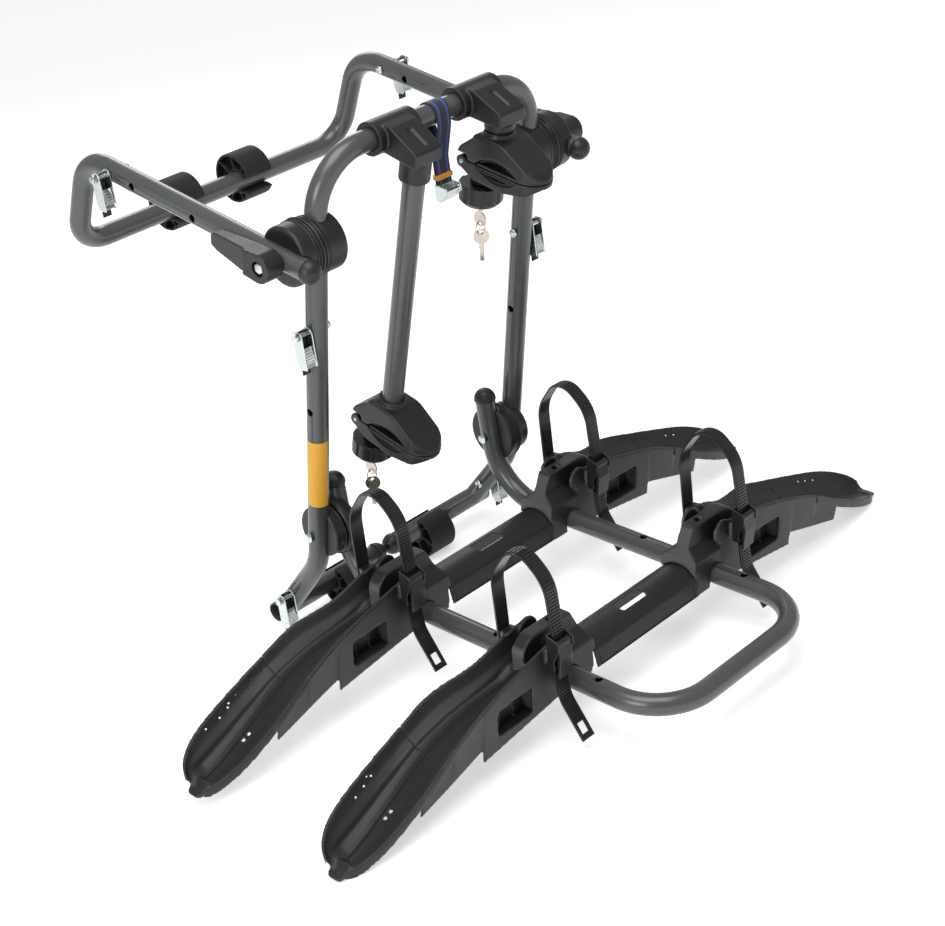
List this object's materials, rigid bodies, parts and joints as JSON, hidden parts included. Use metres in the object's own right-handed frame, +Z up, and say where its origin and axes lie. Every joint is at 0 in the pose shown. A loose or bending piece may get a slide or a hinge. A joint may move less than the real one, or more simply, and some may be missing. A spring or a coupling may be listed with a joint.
{
  "type": "rear bike carrier",
  "caption": "Folding rear bike carrier with a bent tube mast, upper arm, wheel trays with straps, and lockable arms that clamp the bikes.",
  "frame": {"origin": "on the floor, under the middle of the carrier's bounding box", "axes": "+X along the wheel trays, +Y towards the vehicle, +Z up"},
  "size_m": [1.1496, 0.9916, 0.7785],
  "materials": {
    "grey_tube": "satin powder coat, anthracite",
    "black_plastic": "fine moulded grain",
    "black_rubber": "matt rubber",
    "strap_rubber": "moulded strap",
    "webbing": "woven",
    "rubber_band": "plain",
    "amber_film": "plain film",
    "zinc": "bright zinc plate",
    "nickel": "nickel plate"
  },
  "bodies": {
    "main": {"amber_strip": "amber_film", "foot_caps": "black_plastic", "foot_pads": "black_rubber", "frame_bolts": "zinc", "knuckle_bolts": "zinc", "knuckle_housings": "black_plastic", "main_frame": "grey_tube", "spare_strap": "webbing", "strap_band": "rubber_band", "strap_buckle": "zinc"},
    "upper_arm": {"upper_arm_tube": "grey_tube", "arm_end_caps": "black_plastic", "arm_pads": "black_rubber", "arm_discs": "black_plastic", "arm_bolts": "zinc"},
    "platform": {"front_scoop_left": "black_plastic", "front_scoop_right": "black_plastic", "front_wheel_strap_left": "strap_rubber", "front_wheel_strap_right": "strap_rubber", "platform_discs": "black_plastic", "platform_end_caps": "black_plastic", "platform_tube": "grey_tube", "ratchet_bases": "black_plastic", "rear_scoop_left": "black_plastic", "rear_scoop_right": "black_plastic", "rear_wheel_strap_left": "strap_rubber", "rear_wheel_strap_right": "strap_rubber", "tray_beams": "black_plastic", "tray_bolts": "zinc", "tray_flaps": "black_plastic"},
    "upright_buckle_left": {"upright_buckle_left": "zinc"},
    "foot_buckle_left": {"foot_buckle_left": "zinc"},
    "arm_buckle_left": {"arm_buckle_left": "zinc"},
    "clamp_lever_left": {"clamp_lever_left": "black_plastic"},
    "rear_ratchet_lever_left": {"rear_ratchet_lever_left": "black_plastic"},
    "front_ratchet_lever_left": {"front_ratchet_lever_left": "black_plastic"},
    "upright_buckle_right": {"upright_buckle_right": "zinc"},
    "foot_buckle_right": {"foot_buckle_right": "zinc"},
    "arm_buckle_right": {"arm_buckle_right": "zinc"},
    "clamp_lever_right": {"clamp_lever_right": "black_plastic"},
    "rear_ratchet_lever_right": {"rear_ratchet_lever_right": "black_plastic"},
    "front_ratchet_lever_right": {"front_ratchet_lever_right": "black_plastic"},
    "long_arm": {"long_arm_bracket": "black_plastic", "long_arm_tube": "grey_tube", "long_upper_jaw": "black_plastic", "long_upper_pad": "black_rubber", "long_jaw_pin": "zinc"},
    "long_lower_jaw": {"long_lower_jaw": "black_plastic", "long_lower_pad": "black_rubber"},
    "long_knob": {"long_knob": "black_plastic"},
    "long_key": {"long_key": "nickel"},
    "short_arm": {"short_arm_bracket": "black_plastic", "short_arm_tube": "grey_tube", "short_upper_jaw": "black_plastic", "short_upper_pad": "black_rubber", "short_jaw_pin": "zinc"},
    "short_lower_jaw": {"short_lower_jaw": "black_plastic", "short_lower_pad": "black_rubber"},
    "short_knob": {"short_knob": "black_plastic"},
    "short_key": {"short_key": "nickel"}
  },
  "joints": [
    {"name": "upper_arm_fold", "type": "hinge", "parent": "main", "child": "upper_arm", "pos_m": [0, -0.0084, 0.64046], "axis": [1, 0, 0], "range_deg": [-60, 100]},
    {"name": "platform_fold", "type": "hinge", "parent": "main", "child": "platform", "pos_m": [0, 0.09385, 0.19402], "axis": [1, 0, 0], "range_deg": [-30, 0]},
    {"name": "clamp_lever_left_turn", "type": "hinge", "parent": "main", "child": "clamp_lever_left", "pos_m": [-0.286, -0.0084, 0.64046], "axis": [1, 0, 0], "range_deg": [0, 110]},
    {"name": "upright_buckle_left_swing", "type": "hinge", "parent": "main", "child": "upright_buckle_left", "pos_m": [-0.225, 0.01973, 0.51764], "axis": [1, 0, 0], "range_deg": [-60, 60]},
    {"name": "arm_buckle_left_swing", "type": "hinge", "parent": "upper_arm", "child": "arm_buckle_left", "pos_m": [-0.282, 0.31327, 0.71413], "axis": [1, 0, 0], "range_deg": [-60, 60]},
    {"name": "foot_buckle_left_swing", "type": "hinge", "parent": "main", "child": "foot_buckle_left", "pos_m": [-0.225, 0.16514, 0.07909], "axis": [1, 0, 0], "range_deg": [-60, 5]},
    {"name": "clamp_lever_right_turn", "type": "hinge", "parent": "main", "child": "clamp_lever_right", "pos_m": [0.286, -0.0084, 0.64046], "axis": [1, 0, 0], "range_deg": [0, 110]},
    {"name": "upright_buckle_right_swing", "type": "hinge", "parent": "main", "child": "upright_buckle_right", "pos_m": [0.225, 0.01973, 0.51764], "axis": [1, 0, 0], "range_deg": [-60, 60]},
    {"name": "arm_buckle_right_swing", "type": "hinge", "parent": "upper_arm", "child": "arm_buckle_right", "pos_m": [0.282, 0.31327, 0.71413], "axis": [1, 0, 0], "range_deg": [-60, 60]},
    {"name": "foot_buckle_right_swing", "type": "hinge", "parent": "main", "child": "foot_buckle_right", "pos_m": [0.225, 0.16514, 0.07909], "axis": [1, 0, 0], "range_deg": [-60, 5]},
    {"name": "rear_ratchet_lever_left_lift", "type": "hinge", "parent": "platform", "child": "rear_ratchet_lever_left", "pos_m": [-0.195, -0.08755, 0.17191], "axis": [1, 0, 0], "range_deg": [-75, 0]},
    {"name": "rear_ratchet_lever_right_lift", "type": "hinge", "parent": "platform", "child": "rear_ratchet_lever_right", "pos_m": [0.195, -0.08755, 0.17191], "axis": [1, 0, 0], "range_deg": [-75, 0]},
    {"name": "front_ratchet_lever_left_lift", "type": "hinge", "parent": "platform", "child": "front_ratchet_lever_left", "pos_m": [-0.195, -0.351, 0.15487], "axis": [1, 0, 0], "range_deg": [-75, 0]},
    {"name": "front_ratchet_lever_right_lift", "type": "hinge", "parent": "platform", "child": "front_ratchet_lever_right", "pos_m": [0.195, -0.351, 0.15487], "axis": [1, 0, 0], "range_deg": [-75, 0]},
    {"name": "long_arm_swing", "type": "hinge", "parent": "main", "child": "long_arm", "pos_m": [-0.07, -0.03385, 0.75158], "axis": [1, 0, 0], "range_deg": [-110, 20]},
    {"name": "long_jaw_open", "type": "hinge", "parent": "long_arm", "child": "long_lower_jaw", "pos_m": [-0.07, 0.09785, 0.3254], "axis": [1, 0, 0], "range_deg": [0, 35]},
    {"name": "long_knob_turn", "type": "hinge", "parent": "long_lower_jaw", "child": "long_knob", "pos_m": [-0.07, 0.10079, 0.27163], "axis": [0, -0.3123, 0.95], "continuous": true},
    {"name": "long_key_turn", "type": "hinge", "parent": "long_knob", "child": "long_key", "pos_m": [-0.07, 0.10079, 0.27163], "axis": [0, -0.3123, 0.95], "range_deg": [0, 90]},
    {"name": "short_arm_swing", "type": "hinge", "parent": "main", "child": "short_arm", "pos_m": [0.086, -0.03385, 0.75158], "axis": [1, 0, 0], "range_deg": [-110, 20]},
    {"name": "short_jaw_open", "type": "hinge", "parent": "short_arm", "child": "short_lower_jaw", "pos_m": [0.086, -0.02334, 0.66987], "axis": [1, 0, 0], "range_deg": [0, 35]},
    {"name": "short_knob_turn", "type": "hinge", "parent": "short_lower_jaw", "child": "short_knob", "pos_m": [0.086, -0.02538, 0.61605], "axis": [0, -0.2233, 0.9748], "continuous": true},
    {"name": "short_key_turn", "type": "hinge", "parent": "short_knob", "child": "short_key", "pos_m": [0.086, -0.02538, 0.61605], "axis": [0, -0.2233, 0.9748], "range_deg": [0, 90]}
  ]
}
